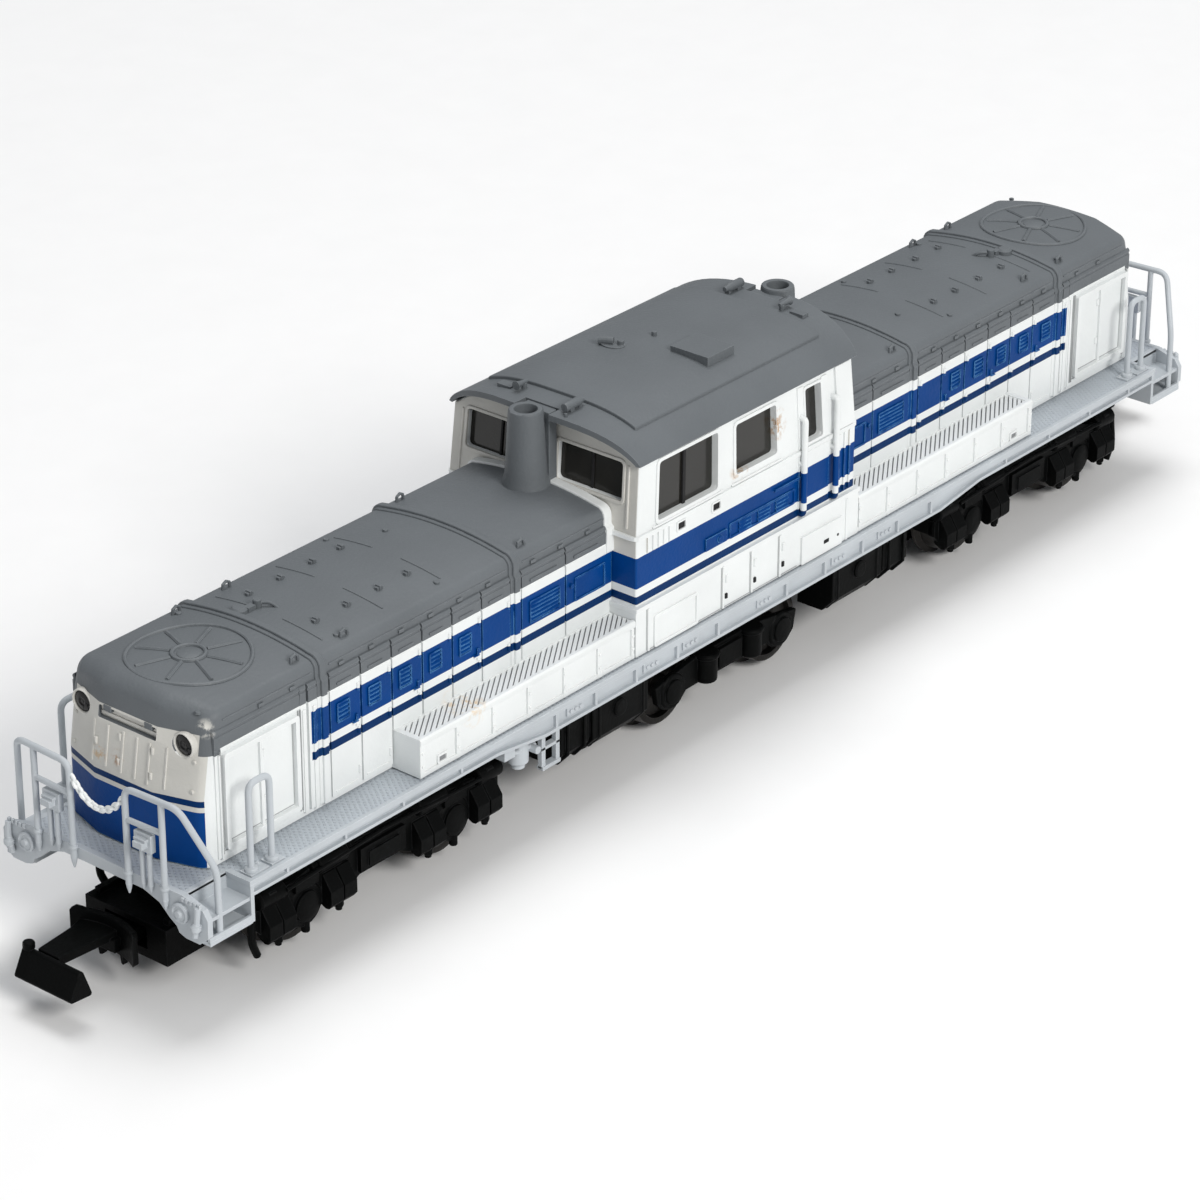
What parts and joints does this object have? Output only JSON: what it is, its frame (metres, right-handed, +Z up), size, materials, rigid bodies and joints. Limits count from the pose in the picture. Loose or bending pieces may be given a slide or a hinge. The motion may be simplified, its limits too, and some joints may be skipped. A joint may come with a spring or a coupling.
{
  "type": "model diesel locomotive",
  "caption": "Small-scale centre-cab diesel locomotive on three two-axle bogies, with end platforms, railings, hook couplers and a geared drive.",
  "frame": {"origin": "centre of the locomotive in plan, level with the lowest points of the wheel flanges", "axes": "+X along the locomotive, the front end at -X; +Y across to its left side; +Z up"},
  "size_m": [0.1238, 0.0186, 0.0269],
  "materials": {
    "white_plastic": "painted white and blue",
    "grey_paint": "dark grey paint",
    "frame_grey_plastic": "light grey",
    "black_plastic": "satin black",
    "clear_plastic": "clear",
    "wheel_metal": "blackened metal",
    "steel": "steel",
    "diecast_metal": "dark die-cast metal",
    "motor_steel": "plated steel",
    "magnet": "dark ferrite",
    "copper": "copper winding",
    "brass": "turned brass",
    "gear_plastic": "natural acetal",
    "circuit_board": "green laminate"
  },
  "bodies": {
    "chassis": {"body_shell": "white_plastic", "cab_roof": "grey_paint", "cab_glazing": "clear_plastic", "running_board": "frame_grey_plastic", "underframe_tanks": "black_plastic", "chassis_left": "diecast_metal", "chassis_right": "diecast_metal", "front_chassis_screw": "steel", "rear_chassis_screw": "steel", "motor_frame": "motor_steel", "magnet_left": "magnet", "magnet_right": "magnet", "front_light_board": "circuit_board", "rear_light_board": "circuit_board", "front_light_guide": "clear_plastic", "rear_light_guide": "clear_plastic", "front_exhaust_stack": "grey_paint", "rear_exhaust_stack": "grey_paint"},
    "driveline": {"armature": "copper", "front_flywheel": "brass", "rear_flywheel": "brass", "front_worm": "brass", "rear_worm": "brass"},
    "front_bogie": {"front_bogie_frame": "black_plastic", "front_gearbox": "black_plastic", "front_gearbox_cover": "black_plastic"},
    "front_worm_wheel_body": {"front_worm_wheel": "gear_plastic"},
    "front_outer_idler_body": {"front_outer_idler": "gear_plastic"},
    "front_outer_wheelset": {"front_outer_muff": "gear_plastic", "front_outer_wheel_left": "wheel_metal", "front_outer_wheel_right": "wheel_metal"},
    "front_inner_idler_body": {"front_inner_idler": "gear_plastic"},
    "front_inner_wheelset": {"front_inner_muff": "gear_plastic", "front_inner_wheel_left": "wheel_metal", "front_inner_wheel_right": "wheel_metal"},
    "front_coupler_swing": {"front_coupler_spring": "steel"},
    "front_coupler_head": {"front_coupler": "black_plastic"},
    "rear_bogie": {"rear_bogie_frame": "black_plastic", "rear_gearbox": "black_plastic", "rear_gearbox_cover": "black_plastic"},
    "rear_worm_wheel_body": {"rear_worm_wheel": "gear_plastic"},
    "rear_outer_idler_body": {"rear_outer_idler": "gear_plastic"},
    "rear_outer_wheelset": {"rear_outer_muff": "gear_plastic", "rear_outer_wheel_left": "wheel_metal", "rear_outer_wheel_right": "wheel_metal"},
    "rear_inner_idler_body": {"rear_inner_idler": "gear_plastic"},
    "rear_inner_wheelset": {"rear_inner_muff": "gear_plastic", "rear_inner_wheel_left": "wheel_metal", "rear_inner_wheel_right": "wheel_metal"},
    "rear_coupler_swing": {"rear_coupler_spring": "steel"},
    "rear_coupler_head": {"rear_coupler": "black_plastic"},
    "centre_slide_body": {"centre_slide": "black_plastic"},
    "centre_bogie": {"centre_bogie_frame": "black_plastic"},
    "centre_front_wheelset": {"centre_front_muff": "gear_plastic", "centre_front_wheel_left": "wheel_metal", "centre_front_wheel_right": "wheel_metal"},
    "centre_rear_wheelset": {"centre_rear_muff": "gear_plastic", "centre_rear_wheel_left": "wheel_metal", "centre_rear_wheel_right": "wheel_metal"}
  },
  "joints": [
    {"name": "motor_spin", "type": "hinge", "parent": "chassis", "child": "driveline", "pos_m": [0, 0, 0.0128], "axis": [1, 0, 0], "continuous": true},
    {"name": "front_bogie_swivel", "type": "hinge", "parent": "chassis", "child": "front_bogie", "pos_m": [-0.0375, 0, 0.008], "axis": [0, 0, 1], "range_deg": [-9, 9]},
    {"name": "front_worm_wheel_spin", "type": "hinge", "parent": "front_bogie", "child": "front_worm_wheel_body", "pos_m": [-0.0375, 0, 0.008], "axis": [0, 1, 0], "continuous": true},
    {"name": "front_outer_idler_spin", "type": "hinge", "parent": "front_bogie", "child": "front_outer_idler_body", "pos_m": [-0.04102, 0, 0.00431], "axis": [0, 1, 0], "continuous": true},
    {"name": "front_outer_wheelset_spin", "type": "hinge", "parent": "front_bogie", "child": "front_outer_wheelset", "pos_m": [-0.04483, 0, 0.00347], "axis": [0, 1, 0], "continuous": true},
    {"name": "front_inner_idler_spin", "type": "hinge", "parent": "front_bogie", "child": "front_inner_idler_body", "pos_m": [-0.03398, 0, 0.00431], "axis": [0, 1, 0], "continuous": true},
    {"name": "front_inner_wheelset_spin", "type": "hinge", "parent": "front_bogie", "child": "front_inner_wheelset", "pos_m": [-0.03017, 0, 0.00347], "axis": [0, 1, 0], "continuous": true},
    {"name": "front_coupler_yaw", "type": "hinge", "parent": "front_bogie", "child": "front_coupler_swing", "pos_m": [-0.0511, 0, 0.00325], "axis": [0, 0, 1], "range_deg": [-12, 12], "stiffness_Nm_per_rad": 0.0002},
    {"name": "front_coupler_lift", "type": "hinge", "parent": "front_coupler_swing", "child": "front_coupler_head", "pos_m": [-0.0511, 0, 0.00325], "axis": [0, 1, 0], "range_deg": [0, 6], "stiffness_Nm_per_rad": 0.0002},
    {"name": "rear_bogie_swivel", "type": "hinge", "parent": "chassis", "child": "rear_bogie", "pos_m": [0.0375, 0, 0.008], "axis": [0, 0, 1], "range_deg": [-9, 9]},
    {"name": "rear_worm_wheel_spin", "type": "hinge", "parent": "rear_bogie", "child": "rear_worm_wheel_body", "pos_m": [0.0375, 0, 0.008], "axis": [0, 1, 0], "continuous": true},
    {"name": "rear_outer_idler_spin", "type": "hinge", "parent": "rear_bogie", "child": "rear_outer_idler_body", "pos_m": [0.04102, 0, 0.00431], "axis": [0, 1, 0], "continuous": true},
    {"name": "rear_outer_wheelset_spin", "type": "hinge", "parent": "rear_bogie", "child": "rear_outer_wheelset", "pos_m": [0.04483, 0, 0.00347], "axis": [0, 1, 0], "continuous": true},
    {"name": "rear_inner_idler_spin", "type": "hinge", "parent": "rear_bogie", "child": "rear_inner_idler_body", "pos_m": [0.03398, 0, 0.00431], "axis": [0, 1, 0], "continuous": true},
    {"name": "rear_inner_wheelset_spin", "type": "hinge", "parent": "rear_bogie", "child": "rear_inner_wheelset", "pos_m": [0.03017, 0, 0.00347], "axis": [0, 1, 0], "continuous": true},
    {"name": "rear_coupler_yaw", "type": "hinge", "parent": "rear_bogie", "child": "rear_coupler_swing", "pos_m": [0.0511, 0, 0.00325], "axis": [0, 0, 1], "range_deg": [-12, 12], "stiffness_Nm_per_rad": 0.0002},
    {"name": "rear_coupler_lift", "type": "hinge", "parent": "rear_coupler_swing", "child": "rear_coupler_head", "pos_m": [0.0511, 0, 0.00325], "axis": [0, -1, 0], "range_deg": [0, 6], "stiffness_Nm_per_rad": 0.0002},
    {"name": "centre_bogie_slide", "type": "slide", "parent": "chassis", "child": "centre_slide_body", "axis": [0, 1, 0], "range_m": [-0.0015, 0.0015]},
    {"name": "centre_bogie_swivel", "type": "hinge", "parent": "centre_slide_body", "child": "centre_bogie", "pos_m": [0, 0, 0.006], "axis": [0, 0, 1], "range_deg": [-4, 4]},
    {"name": "centre_front_wheelset_spin", "type": "hinge", "parent": "centre_bogie", "child": "centre_front_wheelset", "pos_m": [-0.00633, 0, 0.00347], "axis": [0, 1, 0], "continuous": true},
    {"name": "centre_rear_wheelset_spin", "type": "hinge", "parent": "centre_bogie", "child": "centre_rear_wheelset", "pos_m": [0.00633, 0, 0.00347], "axis": [0, 1, 0], "continuous": true}
  ],
  "couplings": [
    {"joint": "front_worm_wheel_spin", "follows": "motor_spin", "ratio": -0.05},
    {"joint": "front_outer_idler_spin", "follows": "motor_spin", "ratio": 0.071429},
    {"joint": "front_outer_wheelset_spin", "follows": "motor_spin", "ratio": -0.083333},
    {"joint": "front_inner_idler_spin", "follows": "motor_spin", "ratio": 0.071429},
    {"joint": "front_inner_wheelset_spin", "follows": "motor_spin", "ratio": -0.083333},
    {"joint": "rear_worm_wheel_spin", "follows": "motor_spin", "ratio": -0.05},
    {"joint": "rear_outer_idler_spin", "follows": "motor_spin", "ratio": 0.071429},
    {"joint": "rear_outer_wheelset_spin", "follows": "motor_spin", "ratio": -0.083333},
    {"joint": "rear_inner_idler_spin", "follows": "motor_spin", "ratio": 0.071429},
    {"joint": "rear_inner_wheelset_spin", "follows": "motor_spin", "ratio": -0.083333}
  ]
}
